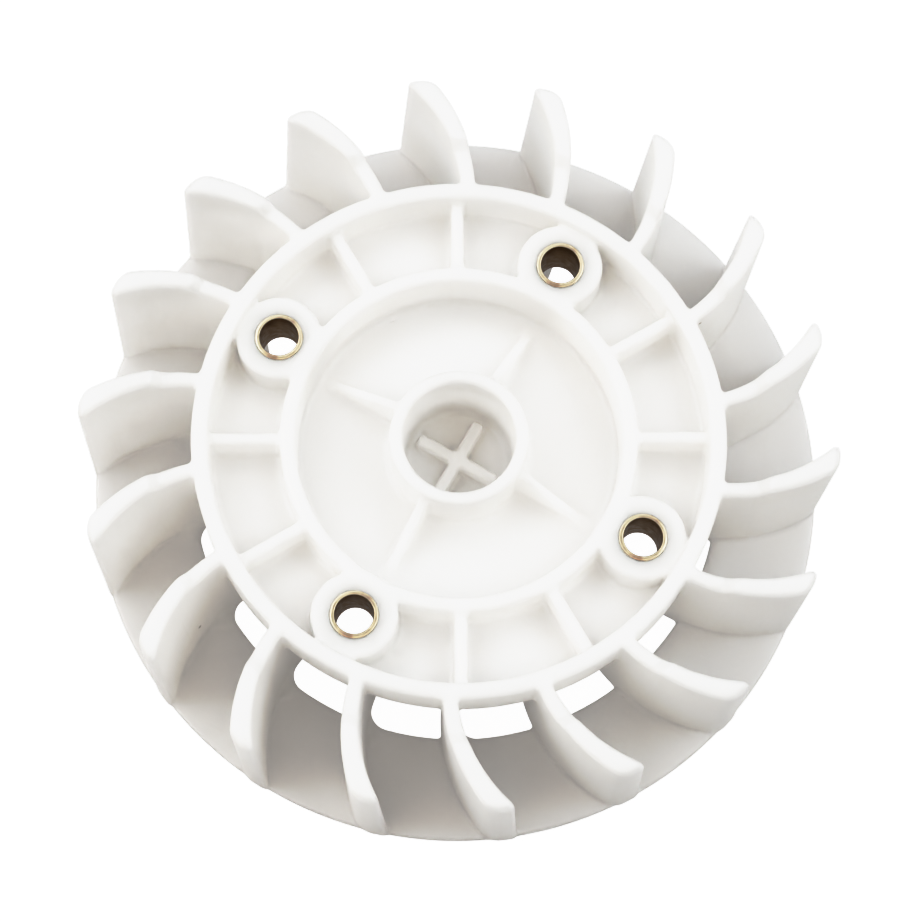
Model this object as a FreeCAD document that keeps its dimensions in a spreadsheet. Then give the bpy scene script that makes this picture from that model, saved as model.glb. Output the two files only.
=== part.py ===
import FreeCAD, Part
import math
import os
import Sketcher

# Cooling-fan wheel of a small air-cooled engine. It bolts to the front face of the flywheel and
# turns with it. The wheel is one nylon moulding that carries four pressed-in steel sleeves, one
# round each bolt, so that the bolts clamp on metal and don't crush the plastic.
#
# Frame, in millimetres: Z is the axis of rotation and points to the front, where the air goes in.
# The origin is the middle of the bolt circle, in the plane where the bosses and the sleeves sit on
# the flywheel. X passes through the first bolt. Heights are measured from that seating plane.

DIMENSIONS = {
    # Hub: an outer ring, a ribbed web, an inner ring, a sunken dish and a blind cup in the middle.
    "hub_diameter": 89.5,
    "rim_width": 2.8,
    "rim_top": 12.0,
    "web_top": 3.4,
    "web_underside": 1.4,
    "inner_ring_diameter": 60.0,
    "inner_ring_width": 2.5,
    "inner_ring_top": 10.4,
    "dish_top": -0.3,
    "dish_underside": -2.8,
    "cup_diameter": 23.5,
    "cup_bore": 19.0,
    "cup_top": 10.2,
    "cup_floor": -7.3,
    "cup_underside": -9.6,
    # Ribs of the web, one at each twelfth of a turn; the bosses cover every third one.
    "division_count": 12,
    "rib_thickness": 2.0,
    "rib_top": 9.6,
    # Gussets in the dish and the low cross inside the cup, in line with the bolts.
    "gusset_thickness": 1.5,
    "gusset_top": 8.8,
    "gusset_reach": 25.0,
    "cross_thickness": 2.0,
    "cross_top": -4.2,
    "cross_reach": 7.7,
    # Bolt bosses and their sleeves, for M6 bolts.
    "bolt_count": 4,
    "bolt_circle": 70.0,
    "boss_diameter": 14.5,
    "boss_height": 10.4,
    "sleeve_diameter": 8.0,
    "sleeve_bore": 6.5,
    "sleeve_chamfer": 0.15,
    # Back plate: a flat ring that closes the blade channels behind and is open round the flywheel.
    "plate_diameter": 128.0,
    "plate_opening": 93.0,
    "plate_front": -17.6,
    "plate_back": -19.6,
    # Blades: curved in plan, straight along the axis, with a raised outer half. Each face is an arc
    # that starts beside the blade's root on the hub; the faces spread by face_spread degrees each.
    "blade_count": 18,
    "blade_phase": 7.6,
    "blade_lean": 7.0,
    "root_thickness": 2.2,
    "face_spread": 1.7,
    "convex_radius": 29.4,
    "concave_radius": 26.6,
    "blade_inner_radius": 40.0,
    "blade_foot_radius": 64.3,
    "blade_tip_radius": 63.6,
    "tip_bevel": 1.6,
    "tip_rise": 2.0,
    "rise_start_radius": 50.3,
    "rise_end_radius": 52.3,
    "tip_corner_radius": 3.5,
    # Small roundings of the moulding.
    "rim_rounding": 0.6,
}

# Room that a trimming cut leaves outside the material it trims.
CUT_MARGIN = 3.0

ORIGIN_POINT = (-1, 1)
WHOLE_TURN = 360.0


def make_sheet(doc):
    """Put every driving dimension in a spreadsheet cell with an alias."""
    sheet = doc.addObject("Spreadsheet::Sheet", "dims")
    for row, (name, value) in enumerate(DIMENSIONS.items(), start=1):
        sheet.set(f"A{row}", name)
        sheet.set(f"B{row}", str(value))
        sheet.setAlias(f"B{row}", name)
    doc.recompute()
    return sheet


def value_of(obj, expression):
    """Number that an expression over the sheet gives now."""
    return float(obj.evalExpression(expression))


def origin_plane(body, role):
    return next(item for item in body.Origin.OriginFeatures if item.Role == role)


def new_sketch(body, name, role, height=None):
    """Sketch on one of the body's own origin planes, raised along its normal by an expression."""
    sketch = body.newObject("Sketcher::SketchObject", name)
    sketch.AttachmentSupport = [(origin_plane(body, role), "")]
    sketch.MapMode = "FlatFace"
    if height is not None:
        sketch.setExpression("AttachmentOffset.Base.z", height)
    return sketch


def bind(sketch, kind, *where_and_expression):
    """Add one sketch dimension and bind it to an expression over the sheet."""
    *where, expression = where_and_expression
    value = value_of(sketch, expression)
    index = sketch.addConstraint(Sketcher.Constraint(kind, *where, value))
    sketch.setExpression(f"Constraints[{index}]", expression)


def place_point(sketch, geometry, position, x_expression, y_expression):
    bind(sketch, "DistanceX", *ORIGIN_POINT, geometry, position, x_expression)
    bind(sketch, "DistanceY", *ORIGIN_POINT, geometry, position, y_expression)


def join(sketch, first, second):
    sketch.addConstraint(Sketcher.Constraint("Coincident", *first, *second))


def draw_outline(sketch, corners, arc_radii=None):
    """Closed outline through corners given as pairs of expressions.

    arc_radii maps a side's number to the radius of a clockwise quarter arc that replaces it.
    """
    arc_radii = arc_radii or {}
    points = [FreeCAD.Vector(value_of(sketch, x), value_of(sketch, y), 0) for x, y in corners]
    ends = []
    for number, start in enumerate(points):
        end = points[(number + 1) % len(points)]
        if number in arc_radii:
            radius = value_of(sketch, arc_radii[number])
            circle = Part.Circle(FreeCAD.Vector(start.x, end.y, 0), FreeCAD.Vector(0, 0, 1), radius)
            side = sketch.addGeometry(Part.ArcOfCircle(circle, 0, math.pi / 2), False)
            ends.append(((side, 2), (side, 1)))
        else:
            side = sketch.addGeometry(Part.LineSegment(start, end), False)
            ends.append(((side, 1), (side, 2)))
    for number, (x, y) in enumerate(corners):
        join(sketch, ends[number - 1][1], ends[number][0])
        place_point(sketch, *ends[number][0], x, y)
    for number, radius in arc_radii.items():
        bind(sketch, "Radius", ends[number][0][0], radius)


def draw_circle(sketch, x, diameter):
    centre = FreeCAD.Vector(value_of(sketch, x), 0, 0)
    circle = Part.Circle(centre, FreeCAD.Vector(0, 0, 1), value_of(sketch, diameter) / 2)
    index = sketch.addGeometry(circle, False)
    place_point(sketch, index, 3, x, "0")
    bind(sketch, "Diameter", index, diameter)


def revolve(body, kind, name, sketch):
    feature = body.newObject(kind, name)
    feature.Profile = sketch
    feature.ReferenceAxis = (sketch, ["V_Axis"])
    feature.Angle = WHOLE_TURN
    return feature


def pad(body, name, sketch, length, midplane=False):
    feature = body.newObject("PartDesign::Pad", name)
    feature.Profile = sketch
    feature.setExpression("Length", length)
    feature.Midplane = midplane
    return feature


def pattern(body, name, features, count):
    """Repeat features round Z; the pattern becomes the body's tip."""
    repeat = body.newObject("PartDesign::PolarPattern", name)
    repeat.Originals = features
    repeat.Axis = (origin_plane(body, "Z_Axis"), [""])
    repeat.Angle = WHOLE_TURN
    repeat.setExpression("Occurrences", count)
    body.Tip = repeat
    return repeat


def add_hub(body):
    """Turned section of the hub, from the bottom of the cup out to the rim and back."""
    sketch = new_sketch(body, "hub_section", "XZ_Plane")
    hub = "dims.hub_diameter / 2"
    rim_inside = "dims.hub_diameter / 2 - dims.rim_width"
    ring = "dims.inner_ring_diameter / 2"
    ring_inside = "dims.inner_ring_diameter / 2 - dims.inner_ring_width"
    cup = "dims.cup_diameter / 2"
    bore = "dims.cup_bore / 2"
    draw_outline(sketch, [
        ("0", "dims.cup_underside"),
        (cup, "dims.cup_underside"),
        (cup, "dims.dish_underside"),
        (ring, "dims.dish_underside"),
        (ring, "dims.web_underside"),
        (hub, "dims.web_underside"),
        (hub, "dims.rim_top"),
        (rim_inside, "dims.rim_top"),
        (rim_inside, "dims.web_top"),
        (ring, "dims.web_top"),
        (ring, "dims.inner_ring_top"),
        (ring_inside, "dims.inner_ring_top"),
        (ring_inside, "dims.dish_top"),
        (cup, "dims.dish_top"),
        (cup, "dims.cup_top"),
        (bore, "dims.cup_top"),
        (bore, "dims.cup_floor"),
        ("0", "dims.cup_floor"),
    ])
    return revolve(body, "PartDesign::Revolution", "hub", sketch)


def add_bar(body, name, height, near, far, thickness, length, count):
    """Radial bar of rectangular plan, padded up from a height and repeated round the axis."""
    sketch = new_sketch(body, f"{name}_plan", "XY_Plane", height)
    half = f"{thickness} / 2"
    draw_outline(sketch, [
        (near, f"-{half}"),
        (far, f"-{half}"),
        (far, half),
        (near, half),
    ])
    return pattern(body, f"{name}s", [pad(body, name, sketch, length)], count)


def add_web_ribs(body):
    middle_of_ring = "(dims.inner_ring_diameter - dims.inner_ring_width) / 2"
    middle_of_rim = "(dims.hub_diameter - dims.rim_width) / 2"
    return add_bar(body, "web_rib", "dims.web_underside", middle_of_ring, middle_of_rim,
                   "dims.rib_thickness", "dims.rib_top - dims.web_underside", "dims.division_count")


def add_cup_cross(body):
    return add_bar(body, "cross_arm", "dims.cup_underside", "0", "dims.cross_reach",
                   "dims.cross_thickness", "dims.cross_top - dims.cup_underside", "dims.bolt_count")


def add_gussets(body):
    """Triangles that brace the cup against the floor of the dish."""
    sketch = new_sketch(body, "gusset_side", "XZ_Plane")
    middle_of_wall = "(dims.cup_diameter + dims.cup_bore) / 4"
    draw_outline(sketch, [
        (middle_of_wall, "dims.dish_underside"),
        ("dims.gusset_reach", "dims.dish_underside"),
        ("dims.gusset_reach", "dims.dish_top"),
        ("dims.cup_diameter / 2", "dims.gusset_top"),
        (middle_of_wall, "dims.gusset_top"),
    ])
    gusset = pad(body, "gusset", sketch, "dims.gusset_thickness", midplane=True)
    return pattern(body, "gussets", [gusset], "dims.bolt_count")


def add_bosses(body):
    """Round bosses from the seating plane up, each with a hole for its sleeve."""
    plan = new_sketch(body, "boss_plan", "XY_Plane")
    draw_circle(plan, "dims.bolt_circle / 2", "dims.boss_diameter")
    pattern(body, "bosses", [pad(body, "boss", plan, "dims.boss_height")], "dims.bolt_count")
    hole_plan = new_sketch(body, "sleeve_hole_plan", "XY_Plane")
    draw_circle(hole_plan, "dims.bolt_circle / 2", "dims.sleeve_diameter")
    hole = body.newObject("PartDesign::Pocket", "sleeve_hole")
    hole.Profile = hole_plan
    hole.Reversed = True
    hole.setExpression("Length", "dims.boss_height")
    return pattern(body, "sleeve_holes", [hole], "dims.bolt_count")


def circle_crossing(centre, radius, about_origin):
    """Point with a positive x where a circle crosses one of another radius about the origin."""
    distance = math.hypot(*centre)
    along = (distance ** 2 + about_origin ** 2 - radius ** 2) / (2 * distance)
    across = math.sqrt(about_origin ** 2 - along ** 2)
    unit = (centre[0] / distance, centre[1] / distance)
    return FreeCAD.Vector(along * unit[0] + across * unit[1], along * unit[1] - across * unit[0], 0)


def draw_guide(sketch, radius):
    """Construction circle about the axis that a blade's corners lie on."""
    normal = FreeCAD.Vector(0, 0, 1)
    circle = Part.Circle(FreeCAD.Vector(0, 0, 0), normal, value_of(sketch, radius))
    index = sketch.addGeometry(circle, True)
    join(sketch, (index, 3), ORIGIN_POINT)
    bind(sketch, "Radius", index, radius)
    return index


def draw_blade_face(sketch, radius, sign, inner_radius, outer_radius):
    """Arc of one face of a blade between two guide circles; returns its number and its ends."""
    heading = f"(dims.blade_phase + dims.blade_lean {sign} dims.face_spread)"
    reach = f"({radius} {sign} dims.root_thickness / 2)"
    centre_x = f"dims.hub_diameter / 2 * cos(dims.blade_phase) - {reach} * sin{heading}"
    centre_y = f"dims.hub_diameter / 2 * sin(dims.blade_phase) + {reach} * cos{heading}"
    centre = (value_of(sketch, centre_x), value_of(sketch, centre_y))
    normal = FreeCAD.Vector(0, 0, 1)
    circle = Part.Circle(FreeCAD.Vector(*centre, 0), normal, value_of(sketch, radius))
    limits = (inner_radius, outer_radius)
    ends = [circle_crossing(centre, circle.Radius, value_of(sketch, limit)) for limit in limits]
    arc = Part.ArcOfCircle(circle, circle.parameter(ends[0]), circle.parameter(ends[1]))
    index = sketch.addGeometry(arc, False)
    for position, limit in enumerate(limits, start=1):
        guide = draw_guide(sketch, limit)
        sketch.addConstraint(Sketcher.Constraint("PointOnObject", index, position, guide))
    bind(sketch, "Radius", index, radius)
    place_point(sketch, index, 3, centre_x, centre_y)
    return index, ends


def draw_blade_plan(sketch, inner_radius):
    """Convex and concave face, closed by short straight sides at the inner edge and the tip."""
    foot = "dims.blade_foot_radius"
    convex = draw_blade_face(sketch, "dims.convex_radius", "-", inner_radius, foot)
    concave = draw_blade_face(sketch, "dims.concave_radius", "+", inner_radius,
                              f"{foot} - dims.tip_bevel")
    for position in (1, 2):
        side = Part.LineSegment(convex[1][position - 1], concave[1][position - 1])
        index = sketch.addGeometry(side, False)
        join(sketch, (index, 1), (convex[0], position))
        join(sketch, (index, 2), (concave[0], position))


def add_blades(body):
    """Whole blades from the rim outwards, and behind the web their stretch further inwards."""
    middle_of_rim = "(dims.hub_diameter - dims.rim_width) / 2"
    plan = new_sketch(body, "blade_plan", "XY_Plane", "dims.plate_back")
    draw_blade_plan(plan, middle_of_rim)
    blade = pad(body, "blade", plan, "dims.rim_top + dims.tip_rise - dims.plate_back")
    root_plan = new_sketch(body, "blade_root_plan", "XY_Plane", "dims.plate_back")
    draw_blade_plan(root_plan, "dims.blade_inner_radius")
    middle_of_web = "(dims.web_top + dims.web_underside) / 2"
    root = pad(body, "blade_root", root_plan, f"{middle_of_web} - dims.plate_back")
    return pattern(body, "blades", [blade, root], "dims.blade_count")


def add_back_plate(body):
    sketch = new_sketch(body, "plate_section", "XZ_Plane")
    inside = "dims.plate_opening / 2"
    outside = "dims.plate_diameter / 2"
    draw_outline(sketch, [
        (inside, "dims.plate_back"),
        (outside, "dims.plate_back"),
        (outside, "dims.plate_front"),
        (inside, "dims.plate_front"),
    ])
    return revolve(body, "PartDesign::Revolution", "back_plate", sketch)


def trim_blade_fronts(body):
    """Turned cut round the blades: flush with the rim, a ramp, a level run, a round corner, a draft."""
    sketch = new_sketch(body, "front_contour", "XZ_Plane")
    inside = f"dims.hub_diameter / 2 - {CUT_MARGIN}"
    outside = f"dims.blade_foot_radius + {CUT_MARGIN}"
    crest = "dims.rim_top + dims.tip_rise"
    shoulder = f"{crest} - dims.tip_corner_radius"
    above = f"{crest} + {CUT_MARGIN}"
    draw_outline(sketch, [
        (inside, "dims.rim_top"),
        ("dims.rise_start_radius", "dims.rim_top"),
        ("dims.rise_end_radius", crest),
        ("dims.blade_tip_radius - dims.tip_corner_radius", crest),
        ("dims.blade_tip_radius", shoulder),
        ("dims.blade_foot_radius", "dims.plate_front"),
        (outside, "dims.plate_front"),
        (outside, above),
        (inside, above),
    ], arc_radii={3: "dims.tip_corner_radius"})
    return revolve(body, "PartDesign::Groove", "blade_fronts", sketch)


def circle_edges(shape, rings):
    """Names of the whole-circle edges about Z with the given radii and heights."""
    names = []
    for number, edge in enumerate(shape.Edges, start=1):
        if not isinstance(edge.Curve, Part.Circle) or not edge.isClosed():
            continue
        for radius, height in rings:
            if abs(edge.Curve.Radius - radius) < 1e-4 and abs(edge.Curve.Center.z - height) < 1e-4:
                names.append(f"Edge{number}")
    return names


def round_rims(body, doc):
    """Soften the whole circular edges at the tops of the rim, the inner ring and the cup."""
    doc.recompute()
    base = body.Tip
    rings = [
        (value_of(base, "dims.hub_diameter / 2 - dims.rim_width"), value_of(base, "dims.rim_top")),
        (value_of(base, "dims.inner_ring_diameter / 2 - dims.inner_ring_width"),
         value_of(base, "dims.inner_ring_top")),
        (value_of(base, "dims.cup_diameter / 2"), value_of(base, "dims.cup_top")),
        (value_of(base, "dims.cup_bore / 2"), value_of(base, "dims.cup_top")),
    ]
    names = circle_edges(base.Shape, rings)
    fillet = body.newObject("PartDesign::Fillet", "rim_roundings")
    fillet.Base = (base, names)
    fillet.setExpression("Radius", "dims.rim_rounding")
    body.Tip = fillet
    return fillet


def build_moulding(doc):
    body = doc.addObject("PartDesign::Body", "fan_moulding")
    body.Label = "fan_moulding"
    add_hub(body)
    add_web_ribs(body)
    add_gussets(body)
    add_cup_cross(body)
    add_bosses(body)
    add_blades(body)
    body.Tip = add_back_plate(body)
    body.Tip = trim_blade_fronts(body)
    round_rims(body, doc)
    return body


def build_sleeve(doc, number):
    """Plain tube with its bore eased at both ends, standing on the seating plane at its bolt."""
    body = doc.addObject("PartDesign::Body", f"bolt_sleeve_{number + 1}")
    body.Label = f"bolt_sleeve_{number + 1}"
    section = new_sketch(body, f"sleeve_section_{number + 1}", "XZ_Plane")
    inside = "dims.sleeve_bore / 2"
    eased = "dims.sleeve_bore / 2 + dims.sleeve_chamfer"
    outside = "dims.sleeve_diameter / 2"
    draw_outline(section, [
        (eased, "0"),
        (outside, "0"),
        (outside, "dims.boss_height"),
        (eased, "dims.boss_height"),
        (inside, "dims.boss_height - dims.sleeve_chamfer"),
        (inside, "dims.sleeve_chamfer"),
    ])
    body.Tip = revolve(body, "PartDesign::Revolution", f"sleeve_tube_{number + 1}", section)
    angle = f"{number} * 360 / dims.bolt_count"
    body.setExpression("Placement.Base.x", f"dims.bolt_circle / 2 * cos({angle})")
    body.setExpression("Placement.Base.y", f"dims.bolt_circle / 2 * sin({angle})")
    return body


def check(doc, bodies):
    """Stop if any object failed, or if a sub-part's shape isn't one valid solid."""
    for obj in doc.Objects:
        if "Invalid" in obj.State or "Error" in obj.State:
            raise RuntimeError(f"{obj.Label} failed: {obj.State}")
    for body in bodies:
        shape = body.Shape
        if shape.isNull() or not shape.isValid() or len(shape.Solids) != 1:
            raise RuntimeError(f"{body.Label} isn't one valid solid")


def main():
    doc = FreeCAD.newDocument("fan_wheel")
    make_sheet(doc)
    bodies = [build_moulding(doc)]
    for number in range(DIMENSIONS["bolt_count"]):
        bodies.append(build_sleeve(doc, number))
    doc.recompute()
    check(doc, bodies)
    os.makedirs("parts", exist_ok=True)
    for body in bodies:
        body.Shape.exportStep(f"parts/{body.Label}.step")
        box = body.Shape.BoundBox
        size = f"{box.XLength:.2f} x {box.YLength:.2f} x {box.ZLength:.2f} mm"
        print(f"{body.Label}: {body.Shape.Volume:.1f} mm3, {size}")


main()
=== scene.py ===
"""Cooling fan wheel: one white nylon moulding with four plated bolt sleeves, on a pale floor."""
import math

import bpy
import numpy as np
from mathutils import Matrix, Vector


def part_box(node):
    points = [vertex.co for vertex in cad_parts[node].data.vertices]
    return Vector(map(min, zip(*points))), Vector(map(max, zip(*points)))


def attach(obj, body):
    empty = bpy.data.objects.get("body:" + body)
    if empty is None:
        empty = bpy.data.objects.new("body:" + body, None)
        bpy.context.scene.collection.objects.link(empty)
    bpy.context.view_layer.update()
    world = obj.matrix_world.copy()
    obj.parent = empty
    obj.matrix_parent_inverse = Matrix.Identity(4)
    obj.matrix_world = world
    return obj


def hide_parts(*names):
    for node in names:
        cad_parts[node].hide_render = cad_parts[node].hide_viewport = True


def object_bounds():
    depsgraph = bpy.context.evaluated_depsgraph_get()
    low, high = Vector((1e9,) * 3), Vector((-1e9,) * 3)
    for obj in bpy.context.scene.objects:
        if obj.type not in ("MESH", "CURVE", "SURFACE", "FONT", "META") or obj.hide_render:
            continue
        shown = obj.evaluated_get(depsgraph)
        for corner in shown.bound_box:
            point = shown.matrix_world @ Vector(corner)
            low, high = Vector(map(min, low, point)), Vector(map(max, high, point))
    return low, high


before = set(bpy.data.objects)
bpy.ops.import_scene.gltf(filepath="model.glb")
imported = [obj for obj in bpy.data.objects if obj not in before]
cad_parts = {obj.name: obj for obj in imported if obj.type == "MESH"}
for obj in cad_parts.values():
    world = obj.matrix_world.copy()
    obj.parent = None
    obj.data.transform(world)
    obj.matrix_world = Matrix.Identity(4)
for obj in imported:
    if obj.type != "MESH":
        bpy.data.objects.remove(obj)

MM = 0.001
CAD_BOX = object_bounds()

# ---- camera, lights and display ----

# The camera's numbers are rounded from a least-squares fit to the picture's perspective.
CAMERA_PLACE = Vector((-103.78, -49.70, 412.65)) * MM
CAMERA_VIEW = Vector((0.2401, 0.1137, -0.9641))
CAMERA_UP = Vector((0.8366, 0.4794, 0.2650))
CAMERA_LENS = 97.8

LIGHT_DISTANCE = 1.0
SOFT_BOX_SIZE = 0.6
AMBIENT_LIGHT = 0.02
COOL = (0.9, 0.96, 1.0)
PLAIN = (1.0, 0.98, 0.97)
WARM = (1.0, 0.91, 0.79)
# Name, bearing and height in degrees (bearing 0 is the picture's right), watts and colour.
# The watts began as a least-squares fit to the picture's tones.
SOFT_BOXES = (
    ("right", 0, 50, 3.0, COOL),
    ("right_low", 0, 22, 1.0, WARM),
    ("upper_right", 45, 50, 1.35, PLAIN),
    ("top", 90, 50, 1.2, COOL),
    ("upper_left", 135, 50, 2.15, PLAIN),
    ("left", 180, 50, 2.2, COOL),
    ("left_low", 180, 22, 1.9, WARM),
    ("lower_left", 225, 50, 1.15, PLAIN),
    ("front", 270, 70, 1.35, WARM),
    ("lower_right", 315, 50, 0.65, PLAIN),
    ("overhead", 0, 88, 0.2, PLAIN),
)
FLOOR_REACH = 3.0
FLOOR_GAP = 0.05 * MM
PANEL_SHARE = 0.75
PANEL_GLOW = 1.35
# The curve's points are rounded from a fit to the picture's tones.
FILM_CURVE = (
    (0.0, 0.0),
    (0.35, 0.29),
    (0.5, 0.55),
    (0.65, 0.77),
    (0.8, 0.9),
    (1.0, 0.945),
    (1.15, 1.0),
)

NYLON_COLOUR = (0.935, 0.92, 0.902)
NYLON_TINT = (0.93, 0.912, 0.888)
NYLON_DEPTH = 8.0 * MM

# ---- the moulding as a distance field: sizes in millimetres ----

GRID = 0.42
FACE_LIMIT = 196000
SETTLING_ROUNDS = 2

# Rings of the hub: inner and outer radius, bottom, top, edge rounding, fillet to the rings before.
HUB_RINGS = (
    (28.0, 43.5, 1.4, 3.4, 0.3, 0.0),
    (41.95, 44.75, 1.4, 12.0, 0.75, 0.9),
    (27.5, 30.0, -2.8, 10.4, 0.8, 1.0),
    (10.6, 28.6, -2.8, -0.3, 0.3, 1.2),
    (9.5, 11.75, -9.6, 10.2, 0.8, 1.2),
    (-5.0, 10.6, -9.6, -7.3, 0.4, 1.6),
)
HUB_RADIUS = 44.75
RIM_TOP = 12.0
PLATE_INNER = 46.5
PLATE_OUTER = 64.0
PLATE_BACK = -19.6
PLATE_FRONT = -17.6
OUTER_LIMIT = 64.7

# The blades have draft, and their arcs lie up to about 0.6 mm from the CAD model's.
BLADE_COUNT = 18
BLADE_PHASE = 7.6
BLADE_LEAN = 6.6
BLADE_RISE = 2.0
RISE_START = 50.1
RISE_LENGTH = 2.6
FACE_SPREAD = 1.7
FACE_TRIM = 0.08
ROOT_THICKNESS = 2.2
CONCAVE_DRAFT = 0.022
CONVEX_RADIUS = 30.4
CONCAVE_RADIUS = 27.0
TIP_RADIUS = 64.3
TIP_DRAFT = 0.022
FOOT_FILLET = 0.7
WINDOW_FILLET = 2.3
CUP_RADIUS = 11.75
DISH_FLOOR = -0.3
GUSSET_TOP = 8.8
GUSSET_REACH = 25.0
CROSS_REACH = 7.7
BOLT_RADIUS = 35.0
BOSS_RADIUS = 7.25
BOSS_TOP = 10.4
SEAT_RADIUS = 3.97


def joined(a, b, radius):
    """Union of two distance fields, with a round fillet where they meet."""
    corner = np.hypot(np.maximum(radius - a, 0), np.maximum(radius - b, 0))
    return np.maximum(radius, np.minimum(a, b)) - corner


def common(a, b, radius):
    """Intersection of two distance fields, with a rounded edge where they meet."""
    corner = np.hypot(np.maximum(radius + a, 0), np.maximum(radius + b, 0))
    return np.minimum(-radius, np.maximum(a, b)) + corner


def slab(value, low, high):
    """Distance to the space between two parallel planes."""
    return np.maximum(low - value, value - high)


def ring_profile(radius, height, inner, outer, bottom, top, edge):
    """Distance in the radius-height plane to a rectangle with rounded corners."""
    return common(slab(radius, inner, outer), slab(height, bottom, top), edge)


def hub_profile(radius, height):
    """The revolved part of the hub: web, rim, inner ring, dish, cup and the cup's floor."""
    field = ring_profile(radius, height, *HUB_RINGS[0][:-1])
    for *ring, fillet in HUB_RINGS[1:]:
        field = joined(field, ring_profile(radius, height, *ring), fillet)
    return field


def plate_profile(radius, height):
    return ring_profile(radius, height, PLATE_INNER, PLATE_OUTER, PLATE_BACK, PLATE_FRONT, edge=0.4)


def revolved(profile, radius, height):
    """A profile spun round Z: worked out once per radius and read for every grid column."""
    step = 0.05
    table_radius = np.arange(0, radius.max() + 2 * step, step, dtype=np.float32)
    table = profile(table_radius[:, None], height[None, :]).astype(np.float32)
    index = radius / step
    low = index.astype(np.int32)
    part = (index - low)[..., None].astype(np.float32)
    return table[low] * (1 - part) + table[low + 1] * part


class Field:
    """A distance field on an even grid: the hub, into which shapes are merged one by one."""

    def __init__(self, step, reach, bottom, top):
        self.step = step
        self.side = np.arange(-reach, reach + step, step, dtype=np.float32)
        self.height = np.arange(bottom, top + step, step, dtype=np.float32)
        self.x, self.y = np.meshgrid(self.side, self.side, indexing="ij")
        self.radius = np.hypot(self.x, self.y)
        self.value = revolved(hub_profile, self.radius, self.height)

    def part(self, centre, half_width):
        """Slices of the grid round a point, with the coordinates there."""
        spans = []
        for middle in centre:
            low = max(0, int((middle - half_width - self.side[0]) / self.step))
            high = int((middle + half_width - self.side[0]) / self.step) + 2
            spans.append(slice(low, high))
        x = self.x[spans[0], spans[1]][..., None]
        y = self.y[spans[0], spans[1]][..., None]
        return spans, x, y, self.height[None, None, :]

    def merge(self, spans, shape, fillet):
        """Join a shape, given on a part of the grid, to what is there already."""
        here = self.value[spans[0], spans[1]]
        self.value[spans[0], spans[1]] = joined(here, shape, fillet)

    def sample(self, points):
        """Value at any points, by linear interpolation."""
        origin = np.array([self.side[0], self.side[0], self.height[0]])
        place = (points - origin) / self.step
        low = np.clip(np.floor(place).astype(np.int32), 0, np.array(self.value.shape) - 2)
        part = place - low
        total = np.zeros(len(points))
        for corner in np.ndindex(2, 2, 2):
            weight = np.prod(np.where(corner, part, 1 - part), axis=1)
            index = low + corner
            total += weight * self.value[index[:, 0], index[:, 1], index[:, 2]]
        return total


def blade_shape(x, y, z, phase):
    """One blade: the space between two arcs in plan, with its outline in side view."""
    heading = {sign: math.radians(phase + BLADE_LEAN + sign * FACE_SPREAD) for sign in (-1, 1)}
    root = HUB_RADIUS * math.cos(math.radians(phase)), HUB_RADIUS * math.sin(math.radians(phase))
    faces = {}
    for sign, bend in ((-1, CONVEX_RADIUS), (1, CONCAVE_RADIUS)):
        reach = bend + sign * ROOT_THICKNESS / 2
        centre_x = root[0] - reach * math.sin(heading[sign])
        centre_y = root[1] + reach * math.cos(heading[sign])
        faces[sign] = -sign * (np.hypot(x - centre_x, y - centre_y) - bend) - FACE_TRIM
    faces[1] = faces[1] - CONCAVE_DRAFT * (RIM_TOP - z)
    radius = np.hypot(x, y)
    rise = np.clip((radius - RISE_START) / RISE_LENGTH, 0, 1)
    front = z - (RIM_TOP + BLADE_RISE * rise * rise * (3 - 2 * rise))
    tip = radius - TIP_RADIUS + TIP_DRAFT * (z - PLATE_FRONT)
    plan = common(common(faces[-1], faces[1], 0.3), tip, 1.6)
    side = common(front, tip - 0.9, 2.9)
    inner = np.where(z > 2.4, 43.4, 40.0) - radius
    shape = np.maximum(common(plan, side, 0.95), np.maximum(inner, PLATE_BACK - z))
    return shape, faces


def add_blades(field):
    """All blades; returns the fillet of their feet, widest at the opening, least at the edge."""
    near_edge = np.clip((63.6 - field.radius) / 2.5, 0.1, 1)[..., None]
    foot_fillet = np.full(field.value.shape, FOOT_FILLET, np.float32)
    for number in range(BLADE_COUNT):
        phase = BLADE_PHASE + number * 360 / BLADE_COUNT
        middle = math.radians(phase + 3)
        spans, x, y, z = field.part((53 * math.cos(middle), 53 * math.sin(middle)), 17.5)
        shape, faces = blade_shape(x, y, z, phase)
        field.merge(spans, shape, 0.7)
        beside = np.clip((4.5 - faces[1]) / 2.0, 0, 1) * (faces[1] > -1.2)
        inside = np.clip((50.5 - np.hypot(x, y)) / 2.0, 0, 1)
        patch = foot_fillet[spans[0], spans[1]]
        patch[...] = np.maximum(patch, FOOT_FILLET + WINDOW_FILLET * beside * inside)
    return foot_fillet * near_edge


def bar(x, y, z, angle, near, far, thickness, bottom, top, edge):
    """A straight wall from the radius near to the radius far."""
    along = x * math.cos(angle) + y * math.sin(angle)
    across = y * math.cos(angle) - x * math.sin(angle)
    wall = common(slab(across, -thickness / 2, thickness / 2), z - top, edge)
    return np.maximum(np.maximum(wall, bottom - z), slab(along, near, far))


def add_ribs(field):
    for twelfth in range(12):
        if twelfth % 3:
            angle = math.radians(30 * twelfth)
            spans, x, y, z = field.part((36 * math.cos(angle), 36 * math.sin(angle)), 10)
            rib = bar(x, y, z, angle, near=28.8, far=43.4, thickness=2.0, bottom=2.4, top=9.6, edge=0.75)
            field.merge(spans, rib, 0.9)


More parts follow.
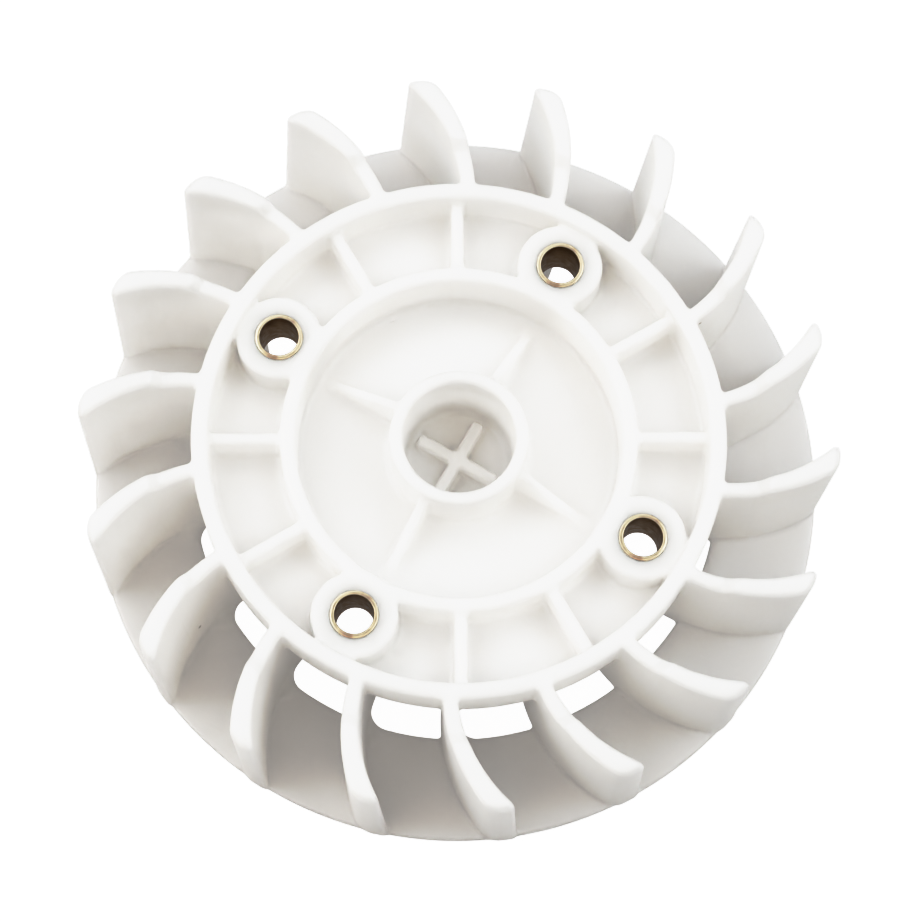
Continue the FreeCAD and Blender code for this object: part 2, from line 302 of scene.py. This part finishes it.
def add_gussets(field):
    """Sloping braces between the cup and the dish, in line with the bolts."""
    slope = math.atan2(GUSSET_TOP - DISH_FLOOR, GUSSET_REACH - CUP_RADIUS)
    for quarter in range(4):
        angle = math.radians(90 * quarter)
        spans, x, y, z = field.part((18 * math.cos(angle), 18 * math.sin(angle)), 11)
        wall = bar(x, y, z, angle, near=10.8, far=27.0, thickness=1.5, bottom=-1.5, top=GUSSET_TOP, edge=0.5)
        along = x * math.cos(angle) + y * math.sin(angle)
        ramp = (z - GUSSET_TOP) * math.cos(slope) + (along - CUP_RADIUS) * math.sin(slope)
        field.merge(spans, common(wall, ramp, 0.5), 0.9)


def add_cross(field):
    spans, x, y, z = field.part((0, 0), 12)
    for angle in (0, math.pi / 2):
        arm = bar(x, y, z, angle, near=-11.0, far=11.0, thickness=2.0, bottom=-8.0, top=-4.2, edge=0.5)
        field.merge(spans, common(arm, np.hypot(x, y) - CROSS_REACH, 0.6), 0.6)


def add_bosses(field):
    """Bosses round the bolts, then the holes that their sleeves fill."""
    for quarter in range(4):
        angle = math.radians(90 * quarter)
        centre = BOLT_RADIUS * math.cos(angle), BOLT_RADIUS * math.sin(angle)
        spans, x, y, z = field.part(centre, 11)
        radius = np.hypot(x - centre[0], y - centre[1])
        boss = common(radius - BOSS_RADIUS, slab(z, 0.0, BOSS_TOP), 0.8)
        field.merge(spans, boss, 0.9)
        here = field.value[spans[0], spans[1]]
        here[...] = common(here, SEAT_RADIUS - radius, 0.18)


def moulding_field(step):
    field = Field(step, 67.5, -21.5, 16.0)
    foot_fillet = add_blades(field)
    plate = revolved(plate_profile, field.radius, field.height)
    field.value = joined(field.value, plate, foot_fillet)
    outside = np.maximum(field.radius[..., None] - OUTER_LIMIT, PLATE_BACK - field.height)
    field.value = common(field.value, outside, 0.3)
    add_ribs(field)
    add_gussets(field)
    add_cross(field)
    add_bosses(field)
    return field


def crossing_points(field):
    """One point in each grid cell that the surface passes through, and the cells' numbers."""
    value = field.value
    inside = (value < 0).astype(np.int8)
    count = np.zeros(np.array(value.shape) - 1, np.int8)
    for a, b, c in np.ndindex(2, 2, 2):
        count += inside[a:a + count.shape[0], b:b + count.shape[1], c:c + count.shape[2]]
    cells = np.argwhere((count > 0) & (count < 8)).astype(np.int32)
    total = np.zeros((len(cells), 3))
    hits = np.zeros(len(cells))
    for axis in range(3):
        for offset in np.ndindex(2, 2):
            start = np.insert(np.array(offset), axis, 0)
            end = np.insert(np.array(offset), axis, 1)
            low = value[tuple((cells + start).T)]
            high = value[tuple((cells + end).T)]
            crossed = (low < 0) != (high < 0)
            part = np.where(crossed, low / np.where(crossed, low - high, 1), 0)
            place = start + part[:, None] * (end - start)
            total += place * crossed[:, None]
            hits += crossed
    number = np.full(count.shape, -1, np.int32)
    number[tuple(cells.T)] = np.arange(len(cells))
    origin = np.array([field.side[0], field.side[0], field.height[0]])
    points = origin + field.step * (cells + total / hits[:, None])
    return points, number, inside


def surface_quads(number, inside):
    """A face for each grid edge that the surface crosses, facing outwards."""
    quads = []
    for axis in range(3):
        one, two = [a for a in range(3) if a != axis]
        ahead = np.take(inside, range(1, inside.shape[axis]), axis)
        behind = np.take(inside, range(inside.shape[axis] - 1), axis)
        edges = np.argwhere(ahead != behind)
        leaving = behind[tuple(edges.T)] > 0
        corners = []
        for back_one, back_two in ((1, 1), (0, 1), (0, 0), (1, 0)):
            cell = edges.copy()
            cell[:, one] -= back_one
            cell[:, two] -= back_two
            corners.append(number[tuple(cell.T)])
        quad = np.stack(corners, axis=1)
        flip = leaving if axis == 1 else ~leaving
        quad[flip] = quad[flip][:, ::-1]
        quads.append(quad)
    return np.concatenate(quads)


def settle(field, points):
    """Move the points along the field's slope on to the surface itself."""
    nudge = field.step * 0.5
    for _ in range(SETTLING_ROUNDS):
        slope = np.zeros(points.shape)
        for axis in range(3):
            shift = np.zeros(3)
            shift[axis] = nudge
            rise = field.sample(points + shift) - field.sample(points - shift)
            slope[:, axis] = rise / (2 * nudge)
        size = np.maximum((slope * slope).sum(axis=1), 0.25)
        move = slope * (field.sample(points) / size)[:, None]
        points = points - np.clip(move, -nudge, nudge)
    return points


def mesh_from(name, points, quads):
    mesh = bpy.data.meshes.new(name)
    mesh.vertices.add(len(points))
    mesh.vertices.foreach_set("co", (points * MM).astype(np.float32).ravel())
    mesh.loops.add(quads.size)
    mesh.loops.foreach_set("vertex_index", quads.astype(np.int32).ravel())
    mesh.polygons.add(len(quads))
    mesh.polygons.foreach_set("loop_start", np.arange(0, quads.size, 4, dtype=np.int32))
    mesh.update(calc_edges=True)
    mesh.validate()
    return mesh


def build_moulding():
    """The wheel's visible body: the field's surface, thinned to an even, light mesh."""
    field = moulding_field(GRID)
    points, number, inside = crossing_points(field)
    points = settle(field, points)
    mesh = mesh_from("fan_wheel", points, surface_quads(number, inside))
    piece = link(bpy.data.objects.new("fan_wheel", mesh))
    thin = piece.modifiers.new("thin", "DECIMATE")
    thin.ratio = min(1, FACE_LIMIT / (2 * len(mesh.polygons)))
    bpy.context.view_layer.update()
    graph = bpy.context.evaluated_depsgraph_get()
    light_mesh = bpy.data.meshes.new_from_object(piece.evaluated_get(graph))
    piece.modifiers.clear()
    piece.data = light_mesh
    bpy.data.meshes.remove(mesh)
    light_mesh.name = "fan_wheel"
    light_mesh.polygons.foreach_set("use_smooth", [True] * len(light_mesh.polygons))
    print("fan_wheel faces", len(light_mesh.polygons))
    return piece


def link(obj):
    bpy.context.scene.collection.objects.link(obj)
    return obj


def new_material(name):
    """A node material with its main shader; returns the material, a node maker and the shader."""
    material = bpy.data.materials.new(name)
    material.use_nodes = True
    tree = material.node_tree
    tree.nodes.clear()
    output = tree.nodes.new("ShaderNodeOutputMaterial")
    shader = tree.nodes.new("ShaderNodeBsdfPrincipled")
    tree.links.new(shader.outputs["BSDF"], output.inputs["Surface"])
    return material, Graph(tree), shader


class Graph:
    """Short ways to add and wire shader nodes."""

    def __init__(self, tree):
        self.tree = tree
        self.place = self.add("TexCoord").outputs["Object"]

    def add(self, kind, **values):
        node = self.tree.nodes.new("ShaderNode" + kind)
        for name, value in values.items():
            setattr(node, name, value)
        return node

    def feed(self, value, socket):
        if isinstance(value, bpy.types.NodeSocket):
            self.tree.links.new(value, socket)
        else:
            socket.default_value = value

    def noise(self, scale, detail=3.0, roughness=0.5, stretch=None):
        node = self.add("TexNoise")
        place = self.place
        if stretch:
            mapping = self.add("Mapping")
            self.feed(place, mapping.inputs["Vector"])
            mapping.inputs["Scale"].default_value = stretch
            place = mapping.outputs["Vector"]
        self.feed(place, node.inputs["Vector"])
        node.inputs["Scale"].default_value = scale
        node.inputs["Detail"].default_value = detail
        node.inputs["Roughness"].default_value = roughness
        return node.outputs["Fac"]

    def cells(self, scale):
        """Distance to, and random colour of, the nearest scattered point."""
        node = self.add("TexVoronoi")
        self.feed(self.place, node.inputs["Vector"])
        node.inputs["Scale"].default_value = scale
        return node.outputs["Distance"], node.outputs["Color"]

    def math(self, operation, *values):
        node = self.add("Math", operation=operation)
        for value, socket in zip(values, node.inputs):
            self.feed(value, socket)
        return node.outputs[0]

    def ramp(self, value, start, end, low=0.0, high=1.0):
        """Smooth step of a value from low at start to high at end."""
        node = self.add("MapRange", interpolation_type="SMOOTHSTEP")
        for item, socket in zip((value, start, end, low, high), node.inputs):
            self.feed(item, socket)
        return node.outputs[0]

    def blend(self, amount, first, second):
        node = self.add("Mix", data_type="RGBA")
        self.feed(amount, node.inputs["Factor"])
        for colour, socket in ((first, node.inputs[6]), (second, node.inputs[7])):
            self.feed(colour if isinstance(colour, bpy.types.NodeSocket) else (*colour, 1), socket)
        return node.outputs[2]

    def bump(self, shader, height, strength, distance):
        node = self.add("Bump")
        node.inputs["Strength"].default_value = strength
        node.inputs["Distance"].default_value = distance
        self.feed(height, node.inputs["Height"])
        self.feed(node.outputs["Normal"], shader.inputs["Normal"])

    def first(self, colour):
        """Red of a colour, for use as a number."""
        node = self.add("SeparateColor")
        self.feed(colour, node.inputs[0])
        return node.outputs[0]

    def split(self):
        node = self.add("SeparateXYZ")
        self.feed(self.place, node.inputs[0])
        return node.outputs


def nylon_material():
    """Natural nylon: light goes well into it, with faint flow marks and a few dark specks."""
    material, graph, shader = new_material("nylon")
    cloud = graph.ramp(graph.noise(35.0, 4.0), 0.35, 0.65)
    tone = graph.blend(cloud, NYLON_COLOUR, NYLON_TINT)
    distance, random = graph.cells(130.0)
    rare = graph.math("GREATER_THAN", graph.first(random), 0.965)
    speck = graph.math("MULTIPLY", rare, graph.ramp(distance, 0.035, 0.06, 1.0, 0.0))
    colour = graph.blend(speck, tone, (0.30, 0.22, 0.15))
    graph.feed(colour, shader.inputs["Base Color"])
    rough = graph.ramp(graph.noise(140.0, 5.0), 0.3, 0.7, 0.34, 0.46)
    graph.feed(rough, shader.inputs["Roughness"])
    shader.inputs["Subsurface Weight"].default_value = 1.0
    shader.inputs["Subsurface Radius"].default_value = (1.0, 1.0, 1.0)
    shader.inputs["Subsurface Scale"].default_value = NYLON_DEPTH
    shader.inputs["IOR"].default_value = 1.5
    swell = graph.noise(160.0, 2.0)
    grain = graph.noise(1500.0, 3.0)
    height = graph.math("ADD", swell, graph.math("MULTIPLY", grain, 0.12))
    graph.bump(shader, height, 0.35, 0.00025)
    return material


def sleeve_material():
    """Yellow-plated steel: pale rim with brown stains, dark bore with fine turning marks."""
    material, graph, shader = new_material("sleeve")
    x, y, z = graph.split()
    squares = graph.math("MULTIPLY", x, x), graph.math("MULTIPLY", y, y)
    radius = graph.math("SQRT", graph.math("ADD", *squares))
    bore = graph.ramp(radius, 3.26 * MM, 3.36 * MM, 1.0, 0.0)
    stain = graph.ramp(graph.noise(230.0, 3.0), 0.48, 0.66)
    rim = graph.blend(stain, (0.66, 0.59, 0.46), (0.42, 0.31, 0.22))
    graph.feed(graph.blend(bore, rim, (0.19, 0.09, 0.008)), shader.inputs["Base Color"])
    shader.inputs["Metallic"].default_value = 1.0
    graph.feed(graph.ramp(graph.noise(900.0), 0.3, 0.7, 0.3, 0.5), shader.inputs["Roughness"])
    turning = graph.noise(900.0, 2.0, stretch=(0.02, 0.02, 3.0))
    graph.bump(shader, turning, 0.5, 0.00006)
    return material


def floor_material():
    """White card; seen directly it is mostly a lit panel, so the wheel's shade on it stays faint."""
    material, graph, shader = new_material("floor")
    shader.inputs["Base Color"].default_value = (0.5, 0.5, 0.5, 1)
    shader.inputs["Roughness"].default_value = 0.9
    shader.inputs["Emission Color"].default_value = (1.0, 0.96, 0.95, 1)
    shader.inputs["Emission Strength"].default_value = 0.165
    panel = graph.add("Emission")
    panel.inputs["Strength"].default_value = PANEL_GLOW
    mix = graph.add("MixShader")
    seen = graph.add("LightPath").outputs["Is Camera Ray"]
    graph.feed(graph.math("MULTIPLY", seen, PANEL_SHARE), mix.inputs[0])
    graph.feed(shader.outputs[0], mix.inputs[1])
    graph.feed(panel.outputs[0], mix.inputs[2])
    output = next(node for node in material.node_tree.nodes if node.type == "OUTPUT_MATERIAL")
    graph.feed(mix.outputs[0], output.inputs["Surface"])
    return material


def build_sleeve(number):
    """A turned tube with a rounded outer lip and a chamfered bore, as the CAD node has it."""
    low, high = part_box(f"bolt_sleeve_{number}")
    middle = (low + high) / 2
    half = (high.z - low.z) / 2 / MM
    end = [(3.25, half - 0.15), (3.27, half - 0.09), (3.34, half - 0.02), (3.4, half)]
    end += [(3.88, half), (3.96, half - 0.04), (3.99, half - 0.12)]
    outline = end + [(radius, -height) for radius, height in reversed(end)]
    turns = 128
    points = []
    for step in range(turns):
        angle = 2 * math.pi * step / turns
        points += [(r * MM * math.cos(angle), r * MM * math.sin(angle), h * MM) for r, h in outline]
    rows = len(outline)
    faces = []
    for step in range(turns):
        for row in range(rows):
            after = (row + 1) % rows
            ahead = (step + 1) % turns
            here, there = step * rows, ahead * rows
            faces.append((here + row, here + after, there + after, there + row))
    mesh = bpy.data.meshes.new(f"sleeve_{number}")
    mesh.from_pydata(points, [], faces)
    mesh.validate()
    mesh.polygons.foreach_set("use_smooth", [True] * len(faces))
    sleeve = link(bpy.data.objects.new(f"sleeve_{number}", mesh))
    sleeve.location = middle
    crisp = sleeve.modifiers.new("crisp", "EDGE_SPLIT")
    crisp.split_angle = math.radians(40)
    return sleeve


def make_floor(height):
    mesh = bpy.data.meshes.new("floor")
    signs = ((-1, -1), (1, -1), (1, 1), (-1, 1))
    corners = [(x * FLOOR_REACH, y * FLOOR_REACH, height) for x, y in signs]
    mesh.from_pydata(corners, [], [(0, 1, 2, 3)])
    floor = link(bpy.data.objects.new("floor", mesh))
    mesh.materials.append(floor_material())


def soft_box(name, place, power, colour):
    """A round lamp that faces the middle of the wheel."""
    data = bpy.data.lights.new(name, "AREA")
    data.shape = "DISK"
    data.size = SOFT_BOX_SIZE
    data.energy = power
    data.color = colour
    lamp = link(bpy.data.objects.new(name, data))
    lamp.location = place
    lamp.rotation_euler = (-place).to_track_quat("-Z", "Y").to_euler()


def make_camera():
    data = bpy.data.cameras.new("camera")
    data.lens = CAMERA_LENS
    data.sensor_width = 36
    camera = link(bpy.data.objects.new("camera", data))
    back = -CAMERA_VIEW.normalized()
    right = CAMERA_UP.cross(back).normalized()
    up = back.cross(right)
    turn = Matrix((right, up, back)).transposed().to_4x4()
    camera.matrix_world = Matrix.Translation(CAMERA_PLACE) @ turn
    bpy.context.scene.camera = camera


def make_lights():
    """Soft boxes all round: bearings in degrees seen from above, 0 to the picture's right."""
    up = CAMERA_UP.to_2d().normalized()
    right = Vector((up.y, -up.x))
    for name, bearing, height, power, colour in SOFT_BOXES:
        flat = math.cos(math.radians(height)) * LIGHT_DISTANCE
        across = right * math.cos(math.radians(bearing)) + up * math.sin(math.radians(bearing))
        place = (across * flat).to_3d()
        place.z = math.sin(math.radians(height)) * LIGHT_DISTANCE
        soft_box(name, place, power, colour)
    world = bpy.data.worlds.new("studio")
    world.use_nodes = True
    background = world.node_tree.nodes["Background"]
    background.inputs["Color"].default_value = (1, 1, 1, 1)
    background.inputs["Strength"].default_value = AMBIENT_LIGHT
    bpy.context.scene.world = world


def set_film():
    """Plain display, with the soft shoulder and the slightly deeper shade of a product picture."""
    view = bpy.context.scene.view_settings
    view.view_transform = "Standard"
    view.use_curve_mapping = True
    mapping = view.curve_mapping
    mapping.use_clip = False
    curve = mapping.curves[3]
    curve.points[0].location = FILM_CURVE[0]
    curve.points[1].location = FILM_CURVE[-1]
    for point in FILM_CURVE[1:-1]:
        curve.points.new(*point)
    mapping.update()


make_camera()
make_lights()
set_film()
make_floor(CAD_BOX[0][2] - FLOOR_GAP)
nylon = nylon_material()
moulding = build_moulding()
moulding.data.materials.append(nylon)
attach(moulding, "root")
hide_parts("fan_moulding")
metal = sleeve_material()
for number in range(1, 5):
    sleeve = build_sleeve(number)
    sleeve.data.materials.append(metal)
    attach(sleeve, "root")
    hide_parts(f"bolt_sleeve_{number}")
